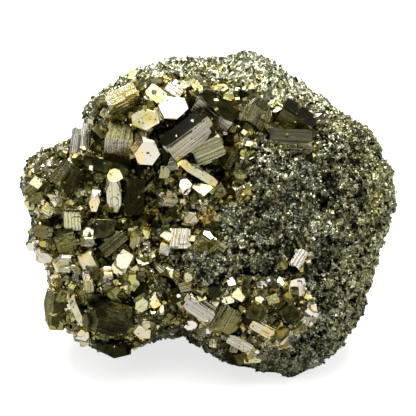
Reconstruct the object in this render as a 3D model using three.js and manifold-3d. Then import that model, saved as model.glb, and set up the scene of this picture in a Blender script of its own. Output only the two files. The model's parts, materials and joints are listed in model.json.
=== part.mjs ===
// A pyrite specimen: a palm-sized nodule of massive, fine-grained pyrite with a field of blocky
// brassy crystals grown into its front left side. Each large crystal is a solid of its own,
// seated in a socket in the massive pyrite. Millimetres, +Z up, origin at the middle of the
// underside of the specimen's box.
import * as THREE from "three";
import { ConvexGeometry } from "three/addons/geometries/ConvexGeometry.js";
import { mergeVertices } from "three/addons/utils/BufferGeometryUtils.js";
import Module from "manifold-3d";

const wasm = await Module();
wasm.setup();

// ---- Driving dimensions ----
// The specimen is drawn in its own leaning frame: u to the right, v up its face and w out of
// its face. LEAN is how far the face looks up when the specimen stands on its flat underside.
const LEAN = THREE.MathUtils.degToRad(20);
const FACE_BULGE = 23; // how far the face stands out of the outline, at the middle
const FACE_POWER = 2.3; // over 2 is fuller than an ellipse
const BACK_BULGE = 25;
const BACK_POWER = 3.2;
const RIM_LEAN = 0.2; // the foot of the rim stands forward of its top by this share of v
const BACK_LEAN = 0.34; // the back is this much deeper towards the foot, so that it stands
const LUMP = 0.8; // height of the lumps that cover the massive pyrite
const BASE_LEVEL = -34.4; // height of the flat underside, below the middle of the face
const SEAT_GAP = 0.3; // gap between a crystal and what it grew against
const AROUND = 120; // points round the outline
const FINENESS = 14; // subdivisions of the ball that the massive pyrite is shaped from
const BREAKS = [
  { depth: 24, slant: -0.14 }, // the two planes that the back is broken off along: how deep each
  { depth: 23, slant: 0.2 }, // lies at the middle, and how it slants with u
];
const FACET_TILT = 0.05; // how far a crystal's facets are off true, each way, in radians
const FACET_SHORT = 0.13; // the most that a facet falls short, as a share of its reach
const RELIEF_FADE = 6; // how suddenly the swellings and hollows fade out at the rim
// The lumps are two pairs of crossed waves: x, y, z and start of each, and the pair's strength.
const LUMP_WAVES = [
  { one: [0.61, 0, 0.35, 1.2], other: [-0.3, 0.53, 0, 0], strength: 1 },
  { one: [0.93, -0.4, 0, 0], other: [0, 0.6, 0.87, 2], strength: 0.6 },
];
const BALL_TURN = { x: 0.3, y: 0.2 }; // radians, so that no corner of the ball faces forward
const CUTTER = { width: 300, depth: 100 }; // the block that cuts the underside flat, in mm
const MERGE_WITHIN = 1e-4; // corners nearer than this are one, in mm
const CORNER_APART = 0.02; // corners of a crystal are at least this far apart, in mm
const NEARLY_PARALLEL = 1e-3; // planes whose normals enclose less than this have no corner
const TINY = 1e-6; // less than this is the ball's own axis
const SEED_PER_CRYSTAL = 7919;
const SEED_PER_LETTER = 104729; // of the zone's name

// The outline of the massive pyrite, seen square on to its face, from the right and round
// through the top. Rounded granular rim above and right, bumps of the crystal field at the left,
// a notch below between the two feet that it stands on.
const OUTLINE = [
  [47, 3.5], [46, 10.5], [43.5, 17], [38.5, 23], [34, 26.3], [29.5, 29], [24.5, 32], [20, 35.5],
  [16.5, 39.2], [11.8, 40.2], [2, 39.8], [-4.5, 39.2], [-10.8, 38.6], [-18.5, 36.4], [-24.3, 32.8],
  [-28.8, 29.4], [-31.2, 25], [-33, 19.2], [-37.8, 18.2], [-40.8, 15.2], [-45, 14], [-47, 8.5],
  [-45.8, 3], [-44.2, -1], [-44.8, -4.4], [-43.4, -9], [-40.2, -15], [-39, -22], [-36.6, -28],
  [-32.3, -31.4], [-26, -34.4], [-20.5, -34.8], [-14.5, -32], [-6, -30.2], [-3.4, -32.8],
  [3.5, -36.3], [9, -38.4], [15, -39.7], [22.5, -39.9], [28.5, -37.4], [35, -31.2], [38.3, -26],
  [40, -19], [43.5, -9.5], [46.2, -1],
];

// Swellings and hollows of the face: [u, v] of the middle, how wide, and how high or deep.
const RELIEF = [
  { at: [24, -6], wide: 20, high: 6.5 }, // the granular mass at the right
  { at: [14, 12], wide: 8.2, high: 7 }, // the boulder above its middle
  { at: [-1, -14], wide: 7.6, high: 7 }, // the granular nose over the recess
  { at: [-10, 25], wide: 13, high: 2.5 }, // the crown of large crystals
  { at: [-41, 6], wide: 9, high: 3.5 }, // the left lobe
  { at: [-25, -25], wide: 11, high: 5 }, // the lower left lobe
  { at: [12, -29], wide: 13, high: 4.5 }, // the crystal ledge at the foot
  { at: [4.5, 10], wide: 6.5, high: -8 }, // the dark valley left of the boulder
  { at: [-13, -2], wide: 9, high: -5.5 }, // its lower end
  { at: [-16, 10], wide: 6, high: -3 }, // under the crown's overhang
  { at: [-11, -19], wide: 5.5, high: -8 }, // the recess under the granular nose
  { at: [8, -17.5], wide: 3.6, high: -4.5 }, // the slot over the ledge
  { at: [20, 19.5], wide: 6.5, high: -4 }, // the trench of the two prisms
  { at: [27, -12], wide: 3.8, high: -4.5 }, // pits in the granular mass
  { at: [29, 5.5], wide: 4.2, high: -3.5 },
  { at: [17, 2.5], wide: 3.6, high: -3 }, // the furrow under the boulder
  { at: [37, -3], wide: 4.5, high: -3 },
  { at: [35.5, 11], wide: 5, high: 2 }, // a swelling on the right shoulder
];

// ---- Crystal habits, as cutting planes of a crystal with half sizes of 1 ----
const BOTH_SIGNS = [-1, 1];
const cubeFaces = () =>
  [0, 1, 2].flatMap((axis) =>
    BOTH_SIGNS.map((sign) => ({ normal: new THREE.Vector3().setComponent(axis, sign), reach: 1 })),
  );
const cornerFaces = (reach) =>
  BOTH_SIGNS.flatMap((x) =>
    BOTH_SIGNS.flatMap((y) =>
      BOTH_SIGNS.map((z) => ({ normal: new THREE.Vector3(x, y, z), reach })),
    ),
  );
// The twelve pentagon faces of a pyritohedron, whose normals are (0, 1, 2) and its turns.
const pentagonFaces = (reach) =>
  [0, 1, 2].flatMap((axis) =>
    BOTH_SIGNS.flatMap((one) =>
      BOTH_SIGNS.map((two) => ({
        normal: new THREE.Vector3()
          .setComponent((axis + 1) % 3, one)
          .setComponent((axis + 2) % 3, 2 * two),
        reach,
      })),
    ),
  );
// Six faces round the crystal's own Z, each turned outwards by slope from upright.
const sixFaces = (reach, slope) =>
  Array.from({ length: 6 }, (_, i) => {
    const turn = (i * Math.PI) / 3;
    return { normal: new THREE.Vector3(Math.cos(turn), Math.sin(turn), slope), reach };
  });

const HABITS = {
  block: () => [...cubeFaces(), ...cornerFaces(2.72)],
  cube: () => [...cubeFaces(), ...cornerFaces(2.42)],
  pyritohedron: () => [...pentagonFaces(2.0), ...cubeFaces()],
  tablet: () => [...cubeFaces().slice(4), ...sixFaces(0.98, 0), ...sixFaces(1.3, 0.6)],
  hexagon: () => [...cubeFaces().slice(4), ...sixFaces(0.98, 0.15)],
};

// ---- The large crystals ----
// at: the middle, as u and v on the face, in mm. size: along, across and out of the face, in mm.
// roll: how far the long axis is turned from level. yaw and pitch: how far the front facet looks
// to the right and up. spin: turn about the long axis. lift: how far the middle stands out of
// the massive pyrite.
const CRYSTALS = {
  crown: [
    { at: [-8.8, 24.8], size: [8.6, 7.2, 7.5], roll: 22, yaw: 4, pitch: 20, habit: "hexagon", lift: 2.4 },
    { at: [-15, 22.2], size: [8.4, 6.8, 7.5], roll: 6, yaw: -6, pitch: 15, habit: "hexagon", lift: 1.9 },
    { at: [-12.6, 28.6], size: [5.6, 3.8, 5], roll: -40, yaw: 0, pitch: 21, habit: "block", lift: 1.2 },
    { at: [-15.2, 15.6], size: [8.4, 7.6, 7], roll: 84, yaw: 4, pitch: -20, habit: "hexagon", lift: 3.2 },
    { at: [-22, 16.8], size: [8.4, 7.6, 7.4], roll: 84, yaw: -8, pitch: -34, habit: "block", lift: 1.8 },
    { at: [-31, 16.4], size: [8.8, 5, 5], roll: 84, yaw: 0, pitch: 10, spin: -34, habit: "block", lift: 1.6 },
    { at: [-20.3, 27.2], size: [8.6, 6, 6], roll: 27, yaw: 0, pitch: 0, spin: 34, habit: "block", lift: 1.6 },
    { at: [-8.2, 30], size: [4.6, 3, 4], roll: -35, yaw: 2, pitch: 17, habit: "block", lift: 0.9 },
    { at: [1.8, 24.8], size: [11, 5.8, 6], roll: -38, yaw: 0, pitch: 0, spin: 42, habit: "block", lift: 2.6 },
    { at: [4.8, 27.4], size: [4.6, 4, 4], roll: -20, yaw: 0, pitch: 19, habit: "pyritohedron", lift: 0.4 },
    { at: [11.5, 24], size: [8.8, 8.4, 8], roll: 60, yaw: 10, pitch: -3, habit: "pyritohedron", lift: 1.4 },
    { at: [-5.2, 18.8], size: [12.4, 5.6, 5.6], roll: 36, yaw: 0, pitch: 0, spin: 36, habit: "block", lift: 3.4 },
    { at: [0.2, 15.8], size: [8.6, 5.4, 5], roll: 25, yaw: 0, pitch: -14, habit: "block", lift: 1.6 },
  ],
  trench: [
    { at: [21.5, 23], size: [9.6, 5.6, 6], roll: -33, yaw: 0, pitch: 0, spin: 32, habit: "block", lift: 1.4 },
    { at: [20.5, 17.2], size: [11, 5.4, 5.4], roll: -3, yaw: 0, pitch: 0, spin: 40, habit: "block", lift: 1.8 },
  ],
  valley: [
    { at: [5.3, 13.4], size: [5.6, 3.6, 4], roll: 65, yaw: 6, pitch: -16, spin: 24, habit: "block", lift: 1.4 },
    { at: [-2, 10.4], size: [10.4, 2.6, 5], roll: -33, yaw: 0, pitch: -18, habit: "block", lift: 1.6 },
    { at: [-5.5, 6.4], size: [4, 3.4, 4], roll: 85, yaw: 0, pitch: -20, habit: "tablet", lift: 1.6 },
    { at: [-9.5, 3.5], size: [5, 4.2, 4.2], roll: 20, yaw: 12, pitch: -10, habit: "tablet", lift: 1.2 },
    { at: [-19, 4.2], size: [9.6, 5.2, 5.4], roll: 88, yaw: 0, pitch: -10, spin: 26, habit: "block", lift: 2.4 },
    { at: [-23, 4.8], size: [9, 3.8, 4.6], roll: 90, yaw: -4, pitch: -28, habit: "cube", lift: 2.2 },
    { at: [-25.2, 11.4], size: [12.6, 3.4, 5], roll: -17, yaw: 0, pitch: 3, habit: "block", lift: 0.8 },
    { at: [-6.8, -6.8], size: [5.6, 5, 4.6], roll: 88, yaw: -4, pitch: 17, habit: "block", lift: 1.8 },
    { at: [-4.4, -1.6], size: [4.2, 3.6, 4], roll: 78, yaw: 2, pitch: 12, habit: "tablet", lift: 1.4 },
    { at: [8, 5.6], size: [4.8, 4.4, 4.4], roll: 30, yaw: -10, pitch: 16, habit: "pyritohedron", lift: 0.6 },
  ],
  left_lobe: [
    { at: [-27.8, 3.2], size: [6.4, 3.4, 4.6], roll: 88, yaw: 0, pitch: -20, habit: "tablet", lift: 1.8 },
    { at: [-34.5, 9.2], size: [6.8, 5.4, 5.4], roll: 54, yaw: 0, pitch: 0, spin: 34, habit: "block", lift: 1.6 },
    { at: [-42.8, 5.6], size: [4.8, 4.6, 4.6], roll: 42, yaw: -8, pitch: -26, habit: "block", lift: 0.8 },
    { at: [-39.2, 0.6], size: [3.6, 3, 3.4], roll: -30, yaw: -4, pitch: 15, habit: "block", lift: 1 },
    { at: [-33, -1], size: [4.6, 5, 4.8], roll: 0, yaw: -4, pitch: -25, habit: "block", lift: 1.6 },
    { at: [-25.5, -3.2], size: [5.6, 5, 5], roll: -2, yaw: 2, pitch: -14, habit: "block", lift: 1.4 },
    { at: [-40.2, -4], size: [5, 3.4, 4], roll: -15, yaw: -8, pitch: -20, habit: "block", lift: 0.8 },
    { at: [-34.8, -6.6], size: [5.6, 5, 5], roll: 10, yaw: -6, pitch: 0, spin: 30, habit: "block", lift: 1 },
    { at: [-29.2, -6.8], size: [4.6, 4.2, 4.6], roll: 10, yaw: 0, pitch: 16, habit: "pyritohedron", lift: 1.4 },
    { at: [-23, -7.6], size: [7.6, 3.4, 4], roll: 40, yaw: 0, pitch: 11, habit: "block", lift: 1.2 },
    { at: [-40, -10.4], size: [5.4, 4, 4.4], roll: -15, yaw: -10, pitch: -21, habit: "tablet", lift: 0.8 },
    { at: [-35, -12], size: [6.2, 5.2, 5], roll: 20, yaw: -4, pitch: -20, habit: "tablet", lift: 1.4 },
    { at: [-28.5, -11.8], size: [6.2, 4.4, 4.4], roll: -60, yaw: 4, pitch: -8, spin: 28, habit: "block", lift: 1.4 },
    { at: [-21, -12.4], size: [6.4, 3.6, 4.4], roll: 58, yaw: 0, pitch: 16, habit: "block", lift: 1.4 },
    { at: [-24.6, -15], size: [4, 3.8, 4], roll: 0, yaw: 6, pitch: 2, habit: "pyritohedron", lift: 1.2 },
  ],
  lower_lobe: [
    { at: [-24, -25.2], size: [12.8, 10, 8.4], roll: 3, yaw: 8, pitch: -16, habit: "pyritohedron", lift: 2.4 },
    { at: [-36.8, -22.6], size: [13.6, 7.4, 7], roll: 84, yaw: -18, pitch: 0, habit: "pyritohedron", lift: 0 },
    { at: [-31.3, -23.6], size: [8.2, 2.2, 5], roll: -66, yaw: -26, pitch: -12, habit: "block", lift: 2 },
    { at: [-29, -17.6], size: [6.6, 3, 4.4], roll: -74, yaw: 0, pitch: -21, habit: "tablet", lift: 2.2 },
    { at: [-23, -32.4], size: [9.2, 7, 7], roll: -5, yaw: 4, pitch: 2, habit: "pyritohedron", lift: 0.6 },
    { at: [-30.4, -29.4], size: [4.6, 4, 4.4], roll: 70, yaw: -8, pitch: -20, habit: "tablet", lift: 0.8 },
    { at: [-15.5, -28.6], size: [7, 6, 6], roll: -20, yaw: 4, pitch: 6, habit: "pyritohedron", lift: 0.2 },
    { at: [-16.6, -22], size: [5, 4.2, 4.6], roll: 60, yaw: 8, pitch: -16, habit: "tablet", lift: 1.2 },
  ],
  recess: [
    { at: [-11.2, -19.2], size: [11, 9, 8], roll: -62, yaw: 0, pitch: 0, spin: 30, habit: "pyritohedron", lift: 1.6 },
    { at: [-7.6, -20.2], size: [7, 5, 5], roll: 15, yaw: 26, pitch: 2, habit: "block", lift: 0.2 },
  ],
  ledge: [
    { at: [-1.3, -22.6], size: [8.2, 4.8, 5], roll: -32, yaw: 0, pitch: 0, spin: 34, habit: "block", lift: 1.2 },
    { at: [4.4, -25.6], size: [6.6, 5.4, 5.6], roll: 62, yaw: 4, pitch: -6, spin: 26, habit: "block", lift: 1.6 },
    { at: [11.5, -23.2], size: [4.8, 4.6, 4.6], roll: 75, yaw: 12, pitch: -20, habit: "block", lift: 1.2 },
    { at: [13.6, -27.6], size: [6.6, 3, 3.6], roll: -30, yaw: 0, pitch: 0, spin: 36, habit: "block", lift: 1.2 },
    { at: [7.8, -31.4], size: [7.2, 2.8, 4.2], roll: -27, yaw: 0, pitch: -16, habit: "block", lift: 0.8 },
    { at: [-4, -27], size: [4, 3.6, 4], roll: 30, yaw: -6, pitch: -20, habit: "tablet", lift: 0.6 },
    { at: [20, -24.2], size: [4.6, 4.2, 4.2], roll: -50, yaw: 8, pitch: -18, habit: "block", lift: 0.8 },
  ],
  mass: [
    { at: [22.3, -11.4], size: [5, 3, 3.6], roll: 55, yaw: 2, pitch: 17, habit: "block", lift: 0.8 },
    { at: [-0.4, -6.4], size: [4.6, 4, 4], roll: -30, yaw: 0, pitch: 18, habit: "pyritohedron", lift: 0.8 },
  ],
};

const PYRITE = { color: 0xb5a57a, roughness: 0.28, metalness: 1 };
const MASSIVE_PYRITE = { color: 0x77745f, roughness: 0.55, metalness: 0.85 };

// ---- Small helpers ----
// A repeatable stream of numbers from 0 to 1.
const STREAM = { factor: 1664525, step: 1013904223, span: 4294967296 };
function stream(seed) {
  let state = seed;
  return () => {
    state = (state * STREAM.factor + STREAM.step) % STREAM.span;
    return state / STREAM.span;
  };
}

// A geometry as a manifold-3d solid, its shared vertices merged by position.
function solidOf(geometry) {
  const bare = geometry.clone();
  bare.deleteAttribute("normal");
  bare.deleteAttribute("uv");
  const merged = mergeVertices(bare, MERGE_WITHIN);
  return new wasm.Manifold(
    new wasm.Mesh({
      numProp: 3,
      vertProperties: new Float32Array(merged.attributes.position.array),
      triVerts: new Uint32Array(merged.index.array),
    }),
  );
}

function geometryOf(solid) {
  const mesh = solid.getMesh();
  const places = new Float32Array(mesh.numVert * 3);
  for (let i = 0; i < mesh.numVert; i++)
    places.set(mesh.vertProperties.subarray(i * mesh.numProp, i * mesh.numProp + 3), i * 3);
  return new THREE.BufferGeometry()
    .setAttribute("position", new THREE.BufferAttribute(places, 3))
    .setIndex(new THREE.BufferAttribute(new Uint32Array(mesh.triVerts), 1));
}

// The largest connected piece, which drops the crumbs that a cut may leave.
function largest(solid) {
  return solid.decompose().reduce((a, b) => (b.volume() > a.volume() ? b : a));
}

// ---- The massive pyrite ----
const outline = new THREE.CatmullRomCurve3(
  OUTLINE.map(([u, v]) => new THREE.Vector3(u, v, 0)),
  true,
  "centripetal",
).getSpacedPoints(AROUND).slice(0, AROUND);

// Distance from the middle of the face to the outline, in the direction of u and v.
function reachOf(u, v) {
  const angle = Math.atan2(v, u);
  const turned = (p) => {
    const d = Math.atan2(p.y, p.x) - angle;
    return Math.atan2(Math.sin(d), Math.cos(d));
  };
  for (let i = 0; i < AROUND; i++) {
    const a = outline[i];
    const b = outline[(i + 1) % AROUND];
    const before = turned(a);
    const after = turned(b);
    if (before <= 0 && after > 0 && after - before < Math.PI)
      return a.clone().lerp(b, -before / (after - before)).length();
  }
  throw new Error(`the outline has no edge towards ${u}, ${v}`);
}

const dome = (share, power) => Math.pow(Math.max(0, 1 - Math.pow(share, power)), 1 / power);

// Swellings and hollows fade out towards the rim, where the outline rules.
function relief(u, v, share) {
  const fade = 1 - Math.pow(share, RELIEF_FADE);
  return RELIEF.reduce((sum, { at, wide, high }) => {
    const away = Math.hypot(u - at[0], v - at[1]) / wide;
    return sum + high * fade * Math.exp(-away * away);
  }, 0);
}

// How far the face stands out, at u and v and at this share of the way to the outline.
function faceDepth(u, v, share = Math.min(1, Math.hypot(u, v) / reachOf(u, v))) {
  return FACE_BULGE * dome(share, FACE_POWER) - RIM_LEAN * v + relief(u, v, share);
}

// The back is rounded at its rim and broken off along two slanting planes.
function backDepth(u, v, share) {
  const round = (BACK_BULGE - BACK_LEAN * v) * dome(share, BACK_POWER);
  const broken = Math.min(...BREAKS.map(({ depth, slant }) => depth + slant * u)) - BACK_LEAN * v;
  return -Math.min(round, broken) - RIM_LEAN * v;
}

// Lumps of a few millimetres all over.
function lumpy(point) {
  const wave = ([x, y, z, start]) => Math.sin(x * point.x + y * point.y + z * point.z + start);
  const height = LUMP_WAVES.reduce(
    (sum, { one, other, strength }) => sum + strength * wave(one) * wave(other),
    0,
  );
  return point.multiplyScalar(1 + (LUMP * height) / point.length());
}

// A finely divided ball, pushed out to the face, the rim and the back.
function massivePyrite() {
  const ball = new THREE.IcosahedronGeometry(1, FINENESS);
  ball.rotateX(BALL_TURN.x);
  ball.rotateY(BALL_TURN.y);
  const places = ball.attributes.position;
  const point = new THREE.Vector3();
  for (let i = 0; i < places.count; i++) {
    point.fromBufferAttribute(places, i).normalize();
    const onFace = point.z >= 0;
    const share = Math.hypot(point.x, point.y);
    const reach = share > TINY ? reachOf(point.x, point.y) : 0;
    point.setX(point.x * reach).setY(point.y * reach);
    point.z = (onFace ? faceDepth : backDepth)(point.x, point.y, share);
    lumpy(point);
    places.setXYZ(i, point.x, point.y, point.z);
  }
  return solidOf(ball);
}

// Everything below the flat underside, as a block in the leaning frame.
function belowBase() {
  const block = new THREE.BoxGeometry(CUTTER.width, CUTTER.width, CUTTER.depth);
  block.translate(0, 0, BASE_LEVEL - CUTTER.depth / 2);
  block.rotateX(LEAN - Math.PI / 2);
  return solidOf(block);
}

// ---- One crystal ----
// The corners of the solid that the planes enclose, as its convex hull.
function hullOf(planes) {
  const corners = [];
  const cross = new THREE.Matrix3();
  for (let i = 0; i < planes.length; i++)
    for (let j = i + 1; j < planes.length; j++)
      for (let k = j + 1; k < planes.length; k++) {
        const [a, b, c] = [planes[i], planes[j], planes[k]];
        cross.set(...a.normal.toArray(), ...b.normal.toArray(), ...c.normal.toArray());
        if (Math.abs(cross.determinant()) < NEARLY_PARALLEL) continue;
        const corner = new THREE.Vector3(a.reach, b.reach, c.reach).applyMatrix3(
          cross.clone().invert(),
        );
        const inside = planes.every((p) => p.normal.dot(corner) < p.reach + MERGE_WITHIN);
        const isNew = corners.every((known) => known.distanceTo(corner) > CORNER_APART);
        if (inside && isNew) corners.push(corner);
      }
  return new ConvexGeometry(corners);
}

// A crystal's planes in mm in its own frame, each a little off true as on a real crystal, and
// moved out by grow.
function planesOf({ size, habit }, seed, grow) {
  const next = stream(seed);
  return HABITS[habit]().map(({ normal, reach }) => {
    const n = new THREE.Vector3(normal.x / size[0], normal.y / size[1], normal.z / size[2]);
    const length = 2 * n.length();
    n.normalize();
    const tilt = () => (2 * next() - 1) * FACET_TILT;
    n.add(new THREE.Vector3(tilt(), tilt(), tilt())).normalize();
    return { normal: n, reach: (reach / length) * (1 - FACET_SHORT * next()) + grow };
  });
}

function crystalSolid(crystal, seed, grow) {
  const { at, size, roll, yaw, pitch, spin = 0, lift } = crystal;
  const geometry = hullOf(planesOf(crystal, seed, grow));
  const rad = THREE.MathUtils.degToRad;
  geometry.rotateX(rad(spin));
  geometry.applyMatrix4(
    new THREE.Matrix4().makeRotationFromEuler(
      new THREE.Euler(rad(-pitch), rad(yaw), rad(roll), "YXZ"),
    ),
  );
  const sunk = faceDepth(at[0], at[1]) + lift - size[2] / 4;
  geometry.translate(at[0], at[1], sunk);
  return solidOf(geometry);
}

// ---- The specimen ----
const crystals = Object.entries(CRYSTALS).flatMap(([zone, list]) =>
  list.map((crystal, i) => ({
    ...crystal,
    name: `${zone}_crystal_${i + 1}`,
    seed: SEED_PER_CRYSTAL * (i + 1) + SEED_PER_LETTER * zone.length,
  })),
);
const below = belowBase();
const grown = crystals.map((crystal) => crystalSolid(crystal, crystal.seed, SEAT_GAP));

// Where two crystals met as they grew, the later one stops at the earlier one.
const crystalSolids = crystals.map((crystal, i) => {
  const whole = crystalSolid(crystal, crystal.seed, 0).subtract(below);
  const cut = grown.slice(0, i).reduce((solid, other) => solid.subtract(other), whole);
  return largest(cut);
});

const matrixSolid = largest(
  grown.reduce((solid, socket) => solid.subtract(socket), massivePyrite()).subtract(below),
);

const leaning = new THREE.Group();
leaning.rotation.x = Math.PI / 2 - LEAN;
const addPiece = (name, solid, look) => {
  const mesh = new THREE.Mesh(geometryOf(solid), new THREE.MeshStandardMaterial(look));
  mesh.name = name;
  leaning.add(mesh);
};
addPiece("massive_pyrite", matrixSolid, MASSIVE_PYRITE);
crystals.forEach(({ name }, i) => addPiece(name, crystalSolids[i], PYRITE));

// Stand the specimen on its underside, with the origin at the middle of its box.
const specimen = new THREE.Group();
specimen.add(leaning);
specimen.updateMatrixWorld(true);
const box = new THREE.Box3().setFromObject(specimen, true);
leaning.position.set(
  -(box.min.x + box.max.x) / 2,
  -(box.min.y + box.max.y) / 2,
  -box.min.z,
);

export default specimen;
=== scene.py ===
"""A pyrite specimen: a lump of massive, sugary pyrite with a field of brassy crystals on its face."""

import json
import math
import random

import bmesh
import bpy
import numpy as np
from mathutils import Euler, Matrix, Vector
from mathutils.bvhtree import BVHTree

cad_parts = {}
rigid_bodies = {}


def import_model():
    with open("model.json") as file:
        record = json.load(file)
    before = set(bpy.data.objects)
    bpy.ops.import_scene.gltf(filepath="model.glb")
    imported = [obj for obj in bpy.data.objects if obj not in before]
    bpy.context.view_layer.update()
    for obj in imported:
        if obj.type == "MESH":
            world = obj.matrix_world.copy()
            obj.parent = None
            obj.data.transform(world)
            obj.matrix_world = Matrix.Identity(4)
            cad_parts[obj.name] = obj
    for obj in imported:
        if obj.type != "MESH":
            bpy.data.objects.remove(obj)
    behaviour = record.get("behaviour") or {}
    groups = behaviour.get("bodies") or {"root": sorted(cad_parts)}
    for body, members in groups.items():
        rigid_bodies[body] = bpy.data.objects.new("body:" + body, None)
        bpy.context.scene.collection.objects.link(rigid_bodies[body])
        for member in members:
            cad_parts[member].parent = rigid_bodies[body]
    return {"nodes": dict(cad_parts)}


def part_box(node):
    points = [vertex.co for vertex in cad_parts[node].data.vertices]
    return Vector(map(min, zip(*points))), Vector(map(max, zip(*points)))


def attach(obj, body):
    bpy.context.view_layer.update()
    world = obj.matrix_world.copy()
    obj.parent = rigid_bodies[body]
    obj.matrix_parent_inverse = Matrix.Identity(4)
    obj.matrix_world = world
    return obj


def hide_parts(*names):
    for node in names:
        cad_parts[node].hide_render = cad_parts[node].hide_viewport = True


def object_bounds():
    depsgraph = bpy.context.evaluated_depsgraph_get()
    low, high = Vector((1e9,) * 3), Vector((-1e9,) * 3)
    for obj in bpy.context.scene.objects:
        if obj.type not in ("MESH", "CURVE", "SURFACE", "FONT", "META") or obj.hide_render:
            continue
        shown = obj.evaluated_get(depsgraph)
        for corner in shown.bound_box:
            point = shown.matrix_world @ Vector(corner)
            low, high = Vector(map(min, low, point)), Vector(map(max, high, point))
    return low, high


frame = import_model()
cad_low, cad_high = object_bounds()
MM = 0.001  # metres in a millimetre


# =============================================================================================
# The lump of massive pyrite. Fine-grained pyrite that grew as one mass. It was broken off along
# its back and its underside, and every crystal is rooted in it. Its skin is drawn by rays that
# come in to its heart from all round, and is closed over the sockets of the large crystals.
# =============================================================================================

FACE_LEAN = math.radians(20)  # how far the crystal field looks up
FACE_DIRECTION = np.array((0, -math.cos(FACE_LEAN), math.sin(FACE_LEAN)))
FACE_UP = Vector((0, math.sin(FACE_LEAN), math.cos(FACE_LEAN)))
FACE_MIDDLE = Vector((-0.1, 5.5, 34.4)) * MM  # the middle of the face's outline

LUMP_GRID = 124  # quads along each edge of the cube that the skin is blown up from
FINER_ON_FACE = 0.3  # draws the skin's points together on the face
OUTSIDE = 0.12  # the rays start this far from the heart
SOCKET_REACH = 0.42 * MM  # nearer than this to a large crystal is the wall of its socket
BASE_WITHIN = 0.05 * MM  # lower than this is the flat underside
SKIN_SINK = 0.45 * MM  # the skin starts this far in, so that its lumps stay in the lump's box
FILL_ROUNDS, SMOOTH_ROUNDS = 900, 14  # of evening out, over the sockets and all over


def add(tree, kind, inputs=None, **settings):
    """A new node, with its settings set and its inputs given values or linked."""
    made = tree.nodes.new(kind)
    for name, value in settings.items():
        setattr(made, name, value)
    for name, value in (inputs or {}).items():
        if isinstance(value, bpy.types.NodeSocket):
            tree.links.new(value, made.inputs[name])
        else:
            made.inputs[name].default_value = value
    return made


def maths(tree, operation, *values):
    return add(tree, "ShaderNodeMath", dict(enumerate(values)), operation=operation).outputs[0]


def vectors(tree, operation, *values):
    made = add(tree, "ShaderNodeVectorMath", dict(enumerate(values)), operation=operation)
    return made.outputs["Value" if operation == "DOT_PRODUCT" else "Vector"]


def scaled(tree, vector, by):
    made = add(tree, "ShaderNodeVectorMath", {"Vector": vector, "Scale": by}, operation="SCALE")
    return made.outputs["Vector"]


def blended(tree, share, first, second):
    """First where the share is 0, second where it is 1."""
    change = scaled(tree, vectors(tree, "SUBTRACT", second, first), share)
    return vectors(tree, "ADD", first, change)


def noise(tree, where, width, detail=2.0, **settings):
    """Soft noise whose features are about this wide, from 0 to 1."""
    inputs = {"Vector": where, "Scale": 1 / width, "Detail": detail}
    return add(tree, "ShaderNodeTexNoise", inputs, **settings).outputs[0]


def cells(tree, where, width):
    """Cells about this wide: the outputs of a Voronoi texture."""
    return add(tree, "ShaderNodeTexVoronoi", {"Vector": where, "Scale": 1 / width}).outputs


def channel(tree, colour, number):
    return add(tree, "ShaderNodeSeparateColor", {"Color": colour}).outputs[number]


def ranged(tree, value, start, end, first=0.0, last=1.0):
    """First up to where the value is start, last from where it is end, and even between them."""
    inputs = {"Value": value, "From Min": start, "From Max": end, "To Min": first, "To Max": last}
    return add(tree, "ShaderNodeMapRange", inputs).outputs[0]


def ramp(tree, factor, *stops):
    """A colour for each place from 0 to 1, given as pairs of place and colour."""
    made = add(tree, "ShaderNodeValToRGB", {"Fac": factor})
    elements = made.color_ramp.elements
    while len(elements) < len(stops):
        elements.new(0.5)
    for element, (at, colour) in zip(elements, sorted(stops)):
        element.position = at
        element.color = (*colour, 1)
    return made.outputs[0]


def attribute(tree, name):
    return add(tree, "ShaderNodeAttribute", attribute_name=name).outputs["Fac"]


def gathered(objects):
    """The points and the faces of several objects, as of one mesh."""
    points, faces = [], []
    for o in objects:
        start = len(points)
        points += [v.co.copy() for v in o.data.vertices]
        faces += [[start + i for i in p.vertices] for p in o.data.polygons]
    return points, faces


def surface_tree(objects):
    """The faces of several objects, ready for rays and nearest points."""
    return BVHTree.FromPolygons(*gathered(objects))


def place(name, mesh, slot, *replaced):
    """Puts a finished mesh in the scene as a piece of the specimen, inside its box."""
    co = np.empty(len(mesh.vertices) * 3, np.float32)
    mesh.vertices.foreach_get("co", co)
    inside = np.clip(co.reshape(-1, 3), np.array(cad_low), np.array(cad_high))
    mesh.vertices.foreach_set("co", inside.astype(np.float32).ravel())
    mesh.update()
    piece = bpy.data.objects.new(name, mesh)
    bpy.context.scene.collection.objects.link(piece)
    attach(piece, "root")
    if replaced:
        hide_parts(*replaced)
    return piece


def set_attribute(mesh, name, domain, values):
    made = mesh.attributes.new(name, "FLOAT", domain)
    made.data.foreach_set("value", np.asarray(values, np.float32))


def with_nodes(mesh, tree, **inputs):
    """The mesh that a geometry tree makes of this one, with the tree's named inputs set."""
    host = bpy.data.objects.new("host", mesh)
    bpy.context.scene.collection.objects.link(host)
    modifier = host.modifiers.new("nodes", "NODES")
    modifier.node_group = tree
    for item in tree.interface.items_tree:
        if item.name in inputs:
            modifier[item.identifier] = inputs[item.name]
    view = bpy.context.evaluated_depsgraph_get()
    made = bpy.data.meshes.new_from_object(
        host.evaluated_get(view), preserve_all_data_layers=True, depsgraph=view
    )
    host.modifiers.remove(modifier)
    bpy.data.objects.remove(host)
    return made


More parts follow.
